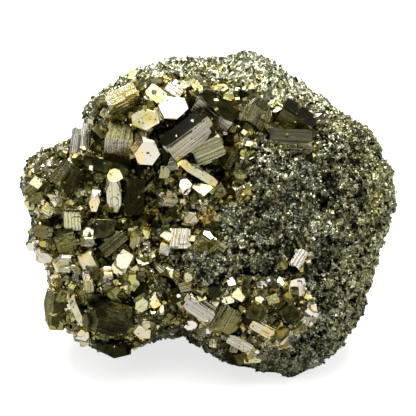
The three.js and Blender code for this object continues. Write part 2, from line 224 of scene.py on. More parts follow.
def new_geometry_tree(name, **numbers):
    """A geometry tree with one geometry in and out, and a named input for each number."""
    tree = bpy.data.node_groups.new(name, "GeometryNodeTree")
    kinds = {float: "NodeSocketFloat", int: "NodeSocketInt"}
    tree.interface.new_socket("Geometry", in_out="INPUT", socket_type="NodeSocketGeometry")
    for label, value in numbers.items():
        made = tree.interface.new_socket(label, in_out="INPUT", socket_type=kinds[type(value)])
        made.default_value = value
    tree.interface.new_socket("Geometry", in_out="OUTPUT", socket_type="NodeSocketGeometry")
    return tree, tree.nodes.new("NodeGroupInput").outputs, tree.nodes.new("NodeGroupOutput").inputs


def end_tree(tree, geometry, material, result):
    """Ends a geometry tree: makes instances real, and gives everything one material."""
    real = add(tree, "GeometryNodeRealizeInstances", {"Geometry": geometry})
    inputs = {"Geometry": real.outputs[0], "Material": material}
    dressed = add(tree, "GeometryNodeSetMaterial", inputs)
    tree.links.new(dressed.outputs[0], result["Geometry"])


def blown_up_cube():
    """A cube's quads blown up to a ball, with more of them on the face of the specimen."""
    bm = bmesh.new()
    bmesh.ops.create_cube(bm, size=2)
    bmesh.ops.subdivide_edges(bm, edges=bm.edges[:], cuts=LUMP_GRID - 1, use_grid_fill=True)
    mesh = bpy.data.meshes.new("lump")
    bm.to_mesh(mesh)
    bm.free()
    co = np.empty(len(mesh.vertices) * 3)
    mesh.vertices.foreach_get("co", co)
    rays = np.tan(co.reshape(-1, 3) * math.pi / 4)
    rays /= np.linalg.norm(rays, axis=1)[:, None]
    rays += FINER_ON_FACE * FACE_DIRECTION
    rays /= np.linalg.norm(rays, axis=1)[:, None]
    return mesh, rays


def relaxed(values, edges, free, rounds):
    """Evens out the free values between their neighbours, leaving the others alone."""
    values = values.copy()
    count = np.bincount(edges.ravel(), minlength=len(values))
    for _ in range(rounds):
        total = np.bincount(edges[:, 0], values[edges[:, 1]], len(values))
        total += np.bincount(edges[:, 1], values[edges[:, 0]], len(values))
        values[free] = (total / count)[free]
    return values


nodes = frame["nodes"]
large_names = sorted(n for n in nodes if "_crystal_" in n)
lump_faces = surface_tree([nodes["massive_pyrite"]])
large_faces = surface_tree([nodes[n] for n in large_names])

lump_low, lump_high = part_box("massive_pyrite")
heart = (lump_low + lump_high) / 2
skin, rays = blown_up_cube()
reach, in_socket, on_base = [], [], []
for ray in rays:
    ray = Vector(ray)
    hit, _, _, away = lump_faces.ray_cast(heart + ray * OUTSIDE, -ray)
    reach.append(OUTSIDE - away)
    in_socket.append(large_faces.find_nearest(hit, SOCKET_REACH)[0] is not None)
    on_base.append(hit.z < BASE_WITHIN)
reach, in_socket, on_base = np.array(reach), np.array(in_socket), np.array(on_base)
edges = np.empty(len(skin.edges) * 2, int)
skin.edges.foreach_get("vertices", edges)
edges = edges.reshape(-1, 2)
reach[in_socket] = np.median(reach)
reach = relaxed(reach, edges, in_socket, FILL_ROUNDS)
reach = relaxed(reach, edges, ~on_base, SMOOTH_ROUNDS)
reach -= np.where(on_base, 0, SKIN_SINK)
co = np.array(heart) + rays * reach[:, None]
co[on_base, 2] = 0
skin.vertices.foreach_set("co", co.astype(np.float32).ravel())
skin.update()


# =============================================================================================
# What grows where on the lump. Small crystals crowd round the large ones. The blocky ones keep to
# the open face, and only tiny ones go on over the rim. Grains cover the rest. Hollows are darkened
# with painted shade, and with tarnish.
# =============================================================================================

# How open a place is to the sky, which lightens it: hollows get painted shade, and tarnish. The
# rays start this many mm off the skin.
SKY_RAYS, SKY_REACH = 12, 14 * MM
SKY_START, SKY_SPREAD, SKY_ROUNDS = 0.8, 1.05, 6
CLEAR_SKY_RANGE = (0.5, 1)  # painted shade and tarnish at the first, none at the second
# How much openness to the sky, the top band and the foot band lift the sugar's tone: painted shade and
# tarnish in the hollows, painted light on the top from overhead, and a lighter foot.
OPEN_SKY_TONE, PAINTED_TOP_LIGHT, FOOT_TONE = 0.5, 0.8, 0.25

# Small crystals reach this far from a large one: as thick as can be up to the first distance, and
# none past the second. A lone crystal has only a thin line of them round its foot.
FAR = 30 * MM
FIELD_REACH, LONE_REACH = (3.4 * MM, 5.6 * MM), (0.9 * MM, 2.2 * MM)
ROOT_DEPTH, COVER_REACH = 2, 9 * MM  # a crystal from this many mm under the skin to there covers it
# How far a place is turned to the front, where 1 is square on and less than 0 is the back.
OPEN_FACING, FRONT_FACING = (0.35, 0.62), (-0.3, -0.2)
SKY_FACING = -0.2  # what is turned back by more than this is taken as open
RIM_FACING = (-0.6, -0.25, 0.05, 0.5)
# Heights over the underside.
TOP_BAND, FOOT_BAND, CREST = (54 * MM, 62 * MM), (4 * MM, 16 * MM), (56 * MM, 64 * MM)
SPARSER_IN_FIELD, CREST_SHARE = 0.75, 0.45
RIM_FINENESS, TOP_FINENESS = 0.45, 0.7
# The lone ones, by how their names start: the first of the valley takes in the tenth too.
LONE = ("trench_", "mass_", "valley_crystal_1", "valley_crystal_8", "crown_crystal_11")
# Where only tiny crystals grow in the field: to the right and up on the face, and how wide, in mm.
KNOTS = ((-15.5, -11.5, 5.5), (-22.5, -5.5, 3.2), (-40.5, 11.5, 6), (-6, 1.5, 3), (4, -21.5, 4))
KNOT_CORE = 0.6


def openness(point, normal, draw):
    """How much of the sky over this point is clear of its surroundings, from 0 to 1."""
    start = point + normal * SKY_START * MM
    clear = 0
    for _ in range(SKY_RAYS):
        ray = Vector([draw.gauss(0, 1) for _ in range(3)]).normalized()
        ray = (ray + normal * SKY_SPREAD).normalized()
        blocked = lump_faces.ray_cast(start, ray, SKY_REACH)[0] is not None
        clear += not (blocked or large_faces.ray_cast(start, ray, SKY_REACH)[0] is not None)
    return clear / SKY_RAYS


def nearest(faces, point):
    away = faces.find_nearest(point, FAR)[3]
    return FAR if away is None else away


lone_names = [n for n in large_names if n.startswith(LONE)]
field_faces = surface_tree([nodes[n] for n in large_names if n not in lone_names])
lone_faces = surface_tree([nodes[n] for n in lone_names])
normals = np.empty(len(skin.vertices) * 3)
skin.vertices.foreach_get("normal", normals)
normals = normals.reshape(-1, 3)
facing = normals @ FACE_DIRECTION
draw = random.Random(3)
druse, bare, sky = [], [], []
for point, normal, in_view in zip(co, normals, facing > SKY_FACING):
    point = Vector(point)
    sky.append(openness(point, Vector(normal), draw) if in_view else 1)
    in_field = np.interp(nearest(field_faces, point), FIELD_REACH, (1, 0))
    round_lone = np.interp(nearest(lone_faces, point), LONE_REACH, (1, 0))
    root = point - Vector(normal) * ROOT_DEPTH * MM
    over = large_faces.ray_cast(root, Vector(normal), COVER_REACH)[0]
    druse.append(max(in_field, round_lone))
    bare.append(over is not None)
druse, bare = np.array(druse), np.array(bare) | on_base
sky = relaxed(np.array(sky, float), edges, ~on_base, SKY_ROUNDS)
clean = np.interp(sky, CLEAR_SKY_RANGE, (0, 1))  # painted shade and tarnish stay in the hollows
set_attribute(skin, "clean", "POINT", clean)
knotted = np.zeros(len(co))
for right, up, radius in KNOTS:
    away = np.hypot(co[:, 0] - FACE_MIDDLE.x - right * MM, (co - FACE_MIDDLE) @ FACE_UP - up * MM)
    inside = np.interp(away, (KNOT_CORE * radius * MM, radius * MM), (1, 0))
    knotted = np.maximum(knotted, inside)
open_face = np.interp(facing, OPEN_FACING, (0, 1))
in_front = np.interp(facing, FRONT_FACING, (0, 1))
grainy = (1 - SPARSER_IN_FIELD * druse) * np.interp(co[:, 2], CREST, (1, CREST_SHARE))
for label, thickness in (
    ("room_for_blocks", druse * open_face * (1 - knotted)),
    ("room_for_knots", knotted),
    ("room_for_sparkle", druse * in_front),
    ("room_for_grains", grainy * in_front),
    ("room_for_back_grains", grainy * (1 - in_front)),
):
    set_attribute(skin, label, "POINT", np.where(bare, 0, thickness))
set_attribute(skin, "relief", "POINT", np.where(on_base, 0, 1))

# The sugar is finest along the rim and the top. It is lighter along the top, a painted light from
# overhead, and lighter along the foot.
top_band = np.interp(co[:, 2], TOP_BAND, (0, 1)) * (1 - druse)
foot_band = np.interp(co[:, 2], FOOT_BAND, (1, 0))
tone = OPEN_SKY_TONE * clean + PAINTED_TOP_LIGHT * top_band + FOOT_TONE * foot_band
set_attribute(skin, "tone", "POINT", tone)
rim_share = np.interp(facing, RIM_FACING, (0, 1, 1, 0))
fineness = 1 - RIM_FINENESS * np.maximum(rim_share, TOP_FINENESS * top_band)
set_attribute(skin, "fineness", "POINT", fineness)


# =============================================================================================
# The surface of the lump. Sugar-fine crystal faces of dull grey-olive metal, raised in lumps and
# grains, pitted, and split by crevices into chunks.
# =============================================================================================

# Lumps, tilted grains, pits, and chunks with crevices between them.
LUMP_WIDTH, LUMP_HEIGHT = 6.0 * MM, 3.2 * MM
GRAIN_WIDTH, GRAIN_TILT, GRAIN_HEIGHT = 1.35 * MM, 0.8, 0.35 * MM
PIT_WIDTH, PIT_DEPTH, PIT_SEED = 4.2 * MM, 2.6 * MM, 7.3
PIT_FROM, PIT_TO = 0.56, 0.68  # a pit starts where its noise passes the first
CHUNK_WIDTH, CREVICE_DEPTH = 7.5 * MM, 1.5 * MM
CREVICE_SHARE, CREVICE_WANDER = 0.14, 0.5 * MM  # how much of a chunk is crevice, and how crooked

# Its metal.
SUGAR = 0.46 * MM  # width of the finest crystal faces
COARSE_SUGAR = 2.6 * SUGAR
SUGAR_TILT = 1.5
PATCH_WIDTH = 7 * MM
BY_PATCH, BY_COARSE, BY_FINE, BY_TONE = 0.6, 0.18, 0.21, 0.26  # how much each sways the shade
GREY_BRASS = (0.70, 0.695, 0.52)
DARK_OLIVE = (0.26, 0.26, 0.175)
SOOTY = (0.03, 0.03, 0.02)
OCHRE, BLUISH = (1.06, 1.02, 0.82), (0.96, 0.99, 1.05)  # films on the chunks
FILM_WIDTH, FILM_WANDER = 3 * MM, 2 * MM
STAIN = (1.15, 1.12, 0.62)  # the right flank is stained a little more yellow
STAIN_FROM, STAIN_TO, STAIN_MOST = 26 * MM, 42 * MM, 0.8
SMOOTHEST, FINE_ROUGHNESS, COARSE_ROUGHNESS = 0.1, 0.2, 0.14


def massive_pyrite_material():
    """Dull metal made of sugar-fine crystal faces, each tilted and tarnished its own way."""
    material = bpy.data.materials.new("sugary_pyrite")
    material.use_nodes = True
    tree = material.node_tree
    tree.nodes.clear()
    where = add(tree, "ShaderNodeTexCoord").outputs["Object"]
    fine = cells(tree, where, SUGAR)["Color"]
    coarse = cells(tree, where, COARSE_SUGAR)["Color"]
    patches = noise(tree, where, PATCH_WIDTH, 3.0)
    shade = maths(tree, "MULTIPLY", patches, BY_PATCH)
    shade = maths(tree, "MULTIPLY_ADD", channel(tree, coarse, 0), BY_COARSE, shade)
    shade = maths(tree, "MULTIPLY_ADD", channel(tree, fine, 1), BY_FINE, shade)
    shade = maths(tree, "MULTIPLY_ADD", attribute(tree, "tone"), BY_TONE, shade)
    colour = ramp(tree, shade, (0.39, SOOTY), (0.59, DARK_OLIVE), (0.84, GREY_BRASS))
    wandering = vectors(tree, "ADD", where, scaled(tree, coarse, FILM_WANDER))
    film = ranged(tree, noise(tree, wandering, FILM_WIDTH), 0.38, 0.62)
    colour = vectors(tree, "MULTIPLY", colour, blended(tree, film, BLUISH, OCHRE))
    sideways = add(tree, "ShaderNodeSeparateXYZ", {"Vector": where}).outputs["X"]
    stained = ranged(tree, sideways, STAIN_FROM, STAIN_TO, 0.0, STAIN_MOST)
    stained = maths(tree, "MULTIPLY", stained, patches)
    colour = blended(tree, stained, colour, vectors(tree, "MULTIPLY", colour, STAIN))
    roughness = maths(tree, "MULTIPLY_ADD", channel(tree, fine, 0), FINE_ROUGHNESS, SMOOTHEST)
    roughness = maths(tree, "MULTIPLY_ADD", channel(tree, coarse, 2), COARSE_ROUGHNESS, roughness)
    half = (0.5, 0.5, 0.5)
    tilt = scaled(tree, vectors(tree, "SUBTRACT", fine, half), SUGAR_TILT)
    broad = scaled(tree, vectors(tree, "SUBTRACT", coarse, half), SUGAR_TILT)
    normal = add(tree, "ShaderNodeNewGeometry").outputs["Normal"]
    normal = vectors(tree, "ADD", normal, vectors(tree, "ADD", tilt, broad))
    shader = add(
        tree,
        "ShaderNodeBsdfPrincipled",
        {
            "Base Color": colour,
            "Metallic": 1.0,
            "Roughness": roughness,
            "Normal": vectors(tree, "NORMALIZE", normal),
        },
    )
    add(tree, "ShaderNodeOutputMaterial", {"Surface": shader.outputs[0]})
    return material


tree, given, result = new_geometry_tree(
    "pyrite_skin",
    lump_width=LUMP_WIDTH,
    lump_height=LUMP_HEIGHT,
    grain_width=GRAIN_WIDTH,
    grain_tilt=GRAIN_TILT,
    grain_height=GRAIN_HEIGHT,
    pit_width=PIT_WIDTH,
    pit_depth=PIT_DEPTH,
    chunk_width=CHUNK_WIDTH,
    crevice_depth=CREVICE_DEPTH,
)
spot = add(tree, "GeometryNodeInputPosition").outputs[0]
lumps = add(
    tree,
    "ShaderNodeTexNoise",
    {"Vector": spot, "Scale": maths(tree, "DIVIDE", 1.0, given["lump_width"]), "Detail": 3},
)
lumps = maths(tree, "SUBTRACT", lumps.outputs[0], 0.5)
height = maths(tree, "MULTIPLY", lumps, given["lump_height"])
cell = add(
    tree,
    "ShaderNodeTexVoronoi",
    {"Vector": spot, "Scale": maths(tree, "DIVIDE", 1.0, given["grain_width"])},
).outputs
slope = vectors(tree, "SUBTRACT", cell["Color"], (0.5, 0.5, 0.5))
from_middle = vectors(tree, "SUBTRACT", spot, cell["Position"])
tilted = maths(tree, "MULTIPLY", vectors(tree, "DOT_PRODUCT", slope, from_middle), given["grain_tilt"])
height = maths(tree, "ADD", height, tilted)
stand = add(tree, "ShaderNodeSeparateXYZ", {"Vector": slope}).outputs["X"]
height = maths(tree, "ADD", height, maths(tree, "MULTIPLY", stand, given["grain_height"]))
pits = add(
    tree,
    "ShaderNodeTexNoise",
    {"Vector": spot, "Scale": maths(tree, "DIVIDE", 1.0, given["pit_width"]), "Detail": 2},
    noise_dimensions="4D",
)
pits.inputs["W"].default_value = PIT_SEED
hollow = ranged(tree, pits.outputs[0], PIT_FROM, PIT_TO)
height = maths(tree, "SUBTRACT", height, maths(tree, "MULTIPLY", hollow, given["pit_depth"]))
warp = vectors(tree, "ADD", spot, scaled(tree, cell["Color"], CREVICE_WANDER))
edge = add(
    tree,
    "ShaderNodeTexVoronoi",
    {"Vector": warp, "Scale": maths(tree, "DIVIDE", 1.0, given["chunk_width"])},
    feature="DISTANCE_TO_EDGE",
).outputs["Distance"]
crevice = ranged(tree, edge, 0.0, CREVICE_SHARE, 1.0, 0.0)
height = maths(tree, "SUBTRACT", height, maths(tree, "MULTIPLY", crevice, given["crevice_depth"]))
share = add(tree, "GeometryNodeInputNamedAttribute", {"Name": "relief"}).outputs[0]
height = maths(tree, "MULTIPLY", height, share)
outwards = scaled(tree, add(tree, "GeometryNodeInputNormal").outputs[0], height)
moved = add(tree, "GeometryNodeSetPosition", {"Geometry": given["Geometry"], "Offset": outwards})
massive_metal = massive_pyrite_material()
end_tree(tree, moved.outputs[0], massive_metal, result)
skin = with_nodes(skin, tree)
skin.name = "lump_skin"
skin.shade_flat()
place("lump_skin", skin, "massive_pyrite", "massive_pyrite")


# =============================================================================================
# The large crystals. Single crystals of pyrite, 3 to 14 mm long: cubes and blocks with clipped
# corners, and some pyritohedra. Their faces are bright and carry fine growth lines, because the
# crystal grew in thin layers that stop a little short of each other.
# =============================================================================================

LOOKS_UP = 0.25  # a face is an upper one if it is turned up by more than this; upper faces may get painted shade
ONE_PLANE = math.radians(3)  # faces nearer in direction than this are one
EDGE_WEAR = 0.14 * MM

# Smaller copies that stand out of a crystal: their shares of its size, and how far out, in mm.
STEPS = 4  # how many there are on the most strongly lined crystals
STEP_SHARES, STEP_STAND = (0.22, 0.6), (0.12, 0.5)
STEP_SIDES = (0, 1, 1, 2)  # along, across twice as often, and out of the front

# Thin layers, in mm, and by how much each is moved in.
LAYER_WIDTHS = (0.35, 0.5, 0.7, 1.0, 1.5)
LAYER_MOVES = (0.03, 0.06, 0.12, 0.2)
LAYER_STEP = 0.035 * MM  # half the width of the riser between two layers

# The metal: its colours, how far its faces are from flat, and its growth lines.
BRASS = (0.69, 0.67, 0.535)
TARNISH = (0.33, 0.315, 0.14)
BLACKENED = (0.025, 0.024, 0.012)
ROSY, GREENISH = (1.08, 1.04, 1.14), (0.97, 0.97, 0.72)  # what a facet's own film does to the brass
GILT, GILT_WIDTH = (1.12, 0.99, 0.62), 5 * MM  # golden patches that run from one crystal to the next
TARNISH_WIDTH = 2.6 * MM
BY_LOOK, BY_FACET, BY_TARNISH = 0.6, 0.26, 0.26  # how much each sways the shade
ROUGHEST, SMOOTHER_WHEN_BRIGHT, MIRROR = 0.4, -0.42, 0.07
WAVE_WIDTH, WAVE_HEIGHT = 2.8 * MM, 0.13 * MM
FINE_WIDTH, FINE_HEIGHT = 0.4 * MM, 0.026 * MM
# The middle value darkens the grooves between growth lines: painted shade in the grooves.
LINE_HEIGHT, GROOVE_SHADE, LINE_DRIFT = 0.09 * MM, 0.6, 0.4
# Dark specks: painted shade in small pits.
SPECK_SPACING, SPECK_SIZE, SPECK_LEFT = 1.0 * MM, 0.26, 0.2
CRACK_SPACING, CRACK_WANDER, CRACK_DEPTH = 1.3 * MM, 0.7 * MM, 0.05 * MM
CRACK_WIDTH, CRACK_DARKNESS, DARKEST = 0.08, -0.6, 0.1
FILM_CHANCE, LINE_CHANCE = 7.7, 17.3  # draw two more chances from a face's own number
FACE_MARK, FACE_SPREAD = (12.9898, 78.233, 37.719), 43758.5453  # make that number of its direction


def crystal_material():
    """Bright brassy metal. Each face has its own polish, growth lines, tarnish, and dark specks, which
    are painted shade in pits; the grooves of its growth lines carry painted shade.
    """
    material = bpy.data.materials.new("brassy_pyrite")
    material.use_nodes = True
    tree = material.node_tree
    tree.nodes.clear()
    where = add(tree, "ShaderNodeTexCoord").outputs["Object"]
    map_at = add(tree, "ShaderNodeUVMap", uv_map="growth_lines").outputs[0]
    facet = attribute(tree, "facet_tone")
    tone = attribute(tree, "tone")
    patches = noise(tree, where, TARNISH_WIDTH, 4.0)
    shade = maths(tree, "MULTIPLY_ADD", tone, BY_LOOK, maths(tree, "MULTIPLY", facet, BY_FACET))
    shade = maths(tree, "MULTIPLY_ADD", patches, BY_TARNISH, shade)
    colour = ramp(tree, shade, (0.22, BLACKENED), (0.44, TARNISH), (0.68, BRASS))
    film = maths(tree, "FRACT", maths(tree, "MULTIPLY", facet, FILM_CHANCE))
    film = maths(tree, "MULTIPLY", maths(tree, "ADD", film, tone), 0.5)
    tint = blended(tree, ranged(tree, film, 0.35, 0.65), GREENISH, ROSY)
    colour = vectors(tree, "MULTIPLY", colour, tint)
    gilt = ranged(tree, noise(tree, where, GILT_WIDTH, 3.0), 0.53, 0.62)
    colour = blended(tree, gilt, colour, vectors(tree, "MULTIPLY", colour, GILT))

    # Painted shade in small pits, drawn as dark specks.
    speck = cells(tree, where, SPECK_SPACING)
    size = maths(tree, "MULTIPLY", channel(tree, speck["Color"], 0), SPECK_SIZE)
    clean = maths(tree, "GREATER_THAN", speck["Distance"], size)
    clean = maths(tree, "MULTIPLY_ADD", clean, 1 - SPECK_LEFT, SPECK_LEFT)
    wander = add(tree, "ShaderNodeTexNoise", {"Vector": where, "Scale": 1 / CRACK_SPACING, "Detail": 3})
    bent = vectors(tree, "ADD", where, scaled(tree, wander.outputs["Color"], CRACK_WANDER))
    seam = add(
        tree,
        "ShaderNodeTexVoronoi",
        {"Vector": bent, "Scale": 1 / CRACK_SPACING},
        feature="DISTANCE_TO_EDGE",
    ).outputs["Distance"]
    seam = ranged(tree, seam, 0.0, CRACK_WIDTH, 1.0, 0.0)
    crack = maths(tree, "MULTIPLY", seam, ranged(tree, patches, 0.44, 0.56))
    crack = maths(tree, "MULTIPLY", crack, ranged(tree, tone, 0.2, 0.55, 1.0, 0.0))
    clean = maths(tree, "MULTIPLY_ADD", crack, CRACK_DARKNESS, clean)
    clean = maths(tree, "MAXIMUM", clean, DARKEST)
    roughness = maths(tree, "MULTIPLY_ADD", shade, SMOOTHER_WHEN_BRIGHT, ROUGHEST)
    roughness = maths(tree, "MAXIMUM", roughness, MIRROR)

    across = add(tree, "ShaderNodeSeparateXYZ", {"Vector": map_at}).outputs["Y"]
    drift = maths(tree, "MULTIPLY_ADD", patches, LINE_DRIFT, across)
    soft = add(
        tree,
        "ShaderNodeTexNoise",
        {"W": drift, "Scale": 2.3, "Detail": 4.0, "Roughness": 0.7},
        noise_dimensions="1D",
    ).outputs[0]
    ridge = add(
        tree, "ShaderNodeTexVoronoi", {"W": drift, "Scale": 1.3}, voronoi_dimensions="1D"
    ).outputs
    sharp = maths(tree, "MULTIPLY", ridge["Distance"], channel(tree, ridge["Color"], 0))
    lines = maths(tree, "ADD", maths(tree, "MULTIPLY", soft, 1.6), sharp)
    # A strongly lined crystal has lines on every face, and a weakly lined one on few or none.
    chance = maths(tree, "FRACT", maths(tree, "MULTIPLY", facet, LINE_CHANCE))
    chance = maths(tree, "SUBTRACT", chance, 1.3)
    strength = maths(tree, "MULTIPLY_ADD", attribute(tree, "lines"), 2.0, chance)
    strength = maths(tree, "MINIMUM", maths(tree, "MAXIMUM", strength, 0.0), 1.0)
    # Painted shade in the grooves of the growth lines.
    groove_shade = ranged(tree, soft, 0.42, 0.56, 1.0, 0.0)
    groove_shade = maths(tree, "MULTIPLY", maths(tree, "MULTIPLY", groove_shade, strength), GROOVE_SHADE)
    # What is left of the colour after the painted shade of pits and grooves, and the dark cracks.
    kept_after_pits_grooves_cracks = maths(tree, "MAXIMUM", maths(tree, "SUBTRACT", clean, groove_shade), 0.05)
    colour = scaled(tree, colour, kept_after_pits_grooves_cracks)
    height = maths(tree, "MULTIPLY", maths(tree, "MULTIPLY", lines, strength), LINE_HEIGHT)
    height = maths(tree, "MULTIPLY_ADD", noise(tree, where, WAVE_WIDTH, 1.0), WAVE_HEIGHT, height)
    height = maths(tree, "MULTIPLY_ADD", noise(tree, where, FINE_WIDTH, 2.0), FINE_HEIGHT, height)
    height = maths(tree, "MULTIPLY_ADD", crack, -CRACK_DEPTH, height)
    relief = add(tree, "ShaderNodeBump", {"Height": height, "Strength": 1.0, "Distance": 1.0})
    shader = add(
        tree,
        "ShaderNodeBsdfPrincipled",
        {
            "Base Color": colour,
            "Metallic": 1.0,
            "Roughness": roughness,
            "Normal": relief.outputs[0],
        },
    )
    add(tree, "ShaderNodeOutputMaterial", {"Surface": shader.outputs[0]})
    return material


def growth_axes(bm):
    """The crystal's own directions: along its broadest face, across it, and out of it."""
    broadest = max(bm.faces, key=lambda f: f.calc_area())
    out = broadest.normal.copy()
    longest = max(broadest.edges, key=lambda e: e.calc_length())
    along = (longest.verts[0].co - longest.verts[1].co).normalized()
    along = (along - out * along.dot(out)).normalized()
    return along, out.cross(along), out


def add_growth_lines(bm, axes, shaded_top_tone=None):
    """
    Gives each face a map in millimetres, with its first direction along the growth lines, and a
    tone by chance, or the given one if the face looks up: a painted shade on the upper faces.
    """
    along, across, out = axes
    uv = bm.loops.layers.uv.new("growth_lines")
    tone = bm.faces.layers.float.new("facet_tone")
    for face in bm.faces:
        lines = along if abs(face.normal.dot(along)) < 0.8 else across
        over = face.normal.cross(lines).normalized()
        for loop in face.loops:
            loop[uv].uv = (loop.vert.co.dot(lines) / MM, loop.vert.co.dot(over) / MM)
        mark = sum(round(4 * c) * k for c, k in zip(face.normal, FACE_MARK))
        face[tone] = abs(math.sin(mark + len(bm.faces)) * FACE_SPREAD) % 1
        if shaded_top_tone is not None and face.normal.dot(FACE_UP) > LOOKS_UP:
            face[tone] = shaded_top_tone


def add_steps(bm, axes, draw, count):
    """Smaller copies of the crystal that grew parallel to it and stand out a little."""
    middle = sum((v.co for v in bm.verts), Vector()) / len(bm.verts)
    half = [max(abs((v.co - middle).dot(axis)) for v in bm.verts) for axis in axes]
    whole = bm.verts[:] + bm.edges[:] + bm.faces[:]
    for _ in range(count):
        copied = bmesh.ops.duplicate(bm, geom=whole)["geom"]
        shrunk = [draw.uniform(*STEP_SHARES) for _ in axes]
        side = draw.choice(STEP_SIDES)
        stand = draw.uniform(*STEP_STAND) * MM
        spot = Vector()
        for number, (axis, share, reach) in enumerate(zip(axes, shrunk, half)):
            room = reach * (1 - share)
            if number == side:
                spot += axis * (room + stand) * (1 if side == 2 else draw.choice((-1, 1)))
            else:
                spot += axis * draw.uniform(-room, room)
        for v in copied:
            if isinstance(v, bmesh.types.BMVert):
                offset = v.co - middle
                parts = [a * offset.dot(a) * share for a, share in zip(axes, shrunk)]
                v.co = middle + spot + sum(parts, Vector())


def add_layers(bm, axes, draw, strength):
    """Cuts the crystal into thin layers, and moves each in by a little."""
    along, across, out = axes
    middle = sum((v.co for v in bm.verts), Vector()) / len(bm.verts)
    reach = [(v.co - middle).dot(across) for v in bm.verts]
    cuts, at = [], min(reach) + draw.uniform(0.3, 0.9) * MM
    while at < max(reach) - 0.25 * MM:
        cuts.append(at)
        at += draw.choice(LAYER_WIDTHS) * draw.uniform(0.8, 1.3) * MM
    for cut in cuts:
        for side in (-LAYER_STEP, LAYER_STEP):
            everything = bm.verts[:] + bm.edges[:] + bm.faces[:]
            spot = middle + across * (cut + side)
            bmesh.ops.bisect_plane(bm, geom=everything, dist=1e-7, plane_co=spot, plane_no=across)
    sink = [draw.random() ** 2 * strength for _ in range(len(cuts) + 1)]
    short = [draw.random() ** 2 * 0.5 * strength for _ in range(len(cuts) + 1)]
    for v in bm.verts:
        offset = v.co - middle
        layer = int(np.searchsorted(cuts, offset.dot(across)))
        outness, alongness = offset.dot(out), offset.dot(along)
        v.co -= out * math.copysign(sink[layer], outness) * min(1, abs(outness) / MM)
        v.co -= along * math.copysign(short[layer], alongness) * min(1, abs(alongness) / MM)


# How bright a crystal is, from 0, blackened, to 1, clean brass; how strongly it is lined; and,
# for some, the tone of its upper faces, a painted shade, where less than 0 is darker than the rest of
# it.
# A crystal that isn't named here gets a look of its own by chance.
LOOKS = {
    "crown_crystal_1": (0.8, 0.15),
    "crown_crystal_2": (0.55, 0.3),
    "crown_crystal_3": (0.7, 0.5),
    "crown_crystal_4": (0.8, 0.35),
    "crown_crystal_5": (0.6, 1.0, -0.6),
    "crown_crystal_6": (0.75, 0.8),
    "crown_crystal_7": (0.5, 1.0),
    "crown_crystal_9": (0.6, 0.9, -0.9),
    "crown_crystal_11": (0.4, 0.9),
    "crown_crystal_12": (0.55, 0.7, -1.2),
    "crown_crystal_13": (0.5, 1.0),
    "trench_crystal_1": (0.4, 0.7, -0.8),
    "trench_crystal_2": (0.5, 0.9, -1.0),
    "valley_crystal_2": (0.85, 0.4),
    "valley_crystal_5": (0.05, 0.4),
    "valley_crystal_6": (0.7, 0.9),
    "valley_crystal_7": (-0.2, 0.3),
    "valley_crystal_8": (0.85, 1.0),
    "left_lobe_crystal_2": (0.25, 1.0),
    "left_lobe_crystal_8": (0.2, 0.6),
    "lower_lobe_crystal_1": (0.08, 1.0, -0.2),
    "lower_lobe_crystal_2": (0.25, 0.5),
    "lower_lobe_crystal_5": (-0.3, 0.2),
    "recess_crystal_1": (0.35, 1.0),
    "recess_crystal_2": (0.2, 0.9),
    "ledge_crystal_1": (0.75, 1.0),
    "ledge_crystal_2": (0.3, 1.0),
    "ledge_crystal_3": (0.2, 0.9),
    "ledge_crystal_4": (0.8, 0.9),
    "ledge_crystal_5": (0.9, 0.8),
    "ledge_crystal_6": (0.9, 0.2),
    "ledge_crystal_7": (0.15, 0.6),
    "mass_crystal_1": (0.95, 0.9),
}

crystal_metal = crystal_material()
for index, name in enumerate(large_names):
    draw = random.Random(index)
    chance = (draw.uniform(0.15, 0.9), draw.choice((0.3, 0.6, 0.8, 1.0)))
    tone, lines, *shaded_top_tone = LOOKS.get(name, chance)
    bm = bmesh.new()
    bm.from_mesh(nodes[name].data)
    hull = bmesh.ops.convex_hull(bm, input=bm.verts[:])
    spare = {v for v in hull["geom_interior"] + hull["geom_unused"] if isinstance(v, bmesh.types.BMVert)}
    bmesh.ops.delete(bm, geom=list(spare), context="VERTS")
    old = [f for f in bm.faces if f not in set(hull["geom"])]
    bmesh.ops.delete(bm, geom=old, context="FACES_ONLY")
    bmesh.ops.remove_doubles(bm, verts=bm.verts[:], dist=0.01 * MM)
    bmesh.ops.dissolve_limit(bm, angle_limit=ONE_PLANE, verts=bm.verts[:], edges=bm.edges[:])
    bmesh.ops.recalc_face_normals(bm, faces=bm.faces[:])
    axes = growth_axes(bm)
    if Vector(FACE_DIRECTION).dot(axes[2]) < 0:
        axes = axes[0], -axes[1], -axes[2]
    add_steps(bm, axes, draw, round(STEPS * lines))
    bmesh.ops.bevel(
        bm,
        geom=bm.edges[:],
        offset=EDGE_WEAR,
        offset_type="OFFSET",
        segments=1,
        affect="EDGES",
        clamp_overlap=True,
    )
    add_layers(bm, axes, draw, draw.choice(LAYER_MOVES) * MM)
    add_growth_lines(bm, axes, *shaded_top_tone)
    mesh = bpy.data.meshes.new(name + "_grown")
    bm.to_mesh(mesh)
    bm.free()
    set_attribute(mesh, "tone", "POINT", [tone] * len(mesh.vertices))
    set_attribute(mesh, "lines", "POINT", [lines] * len(mesh.vertices))
    mesh.materials.append(crystal_metal)
    place(name + "_grown", mesh, "crystal_pyrite", name)


# =============================================================================================
# The small crystals. The same pyrite, 1 to 4 mm across, packed in every space between the large
# crystals and lying every way round. In knots they are all tiny. Many have a twin in their side.
# =============================================================================================

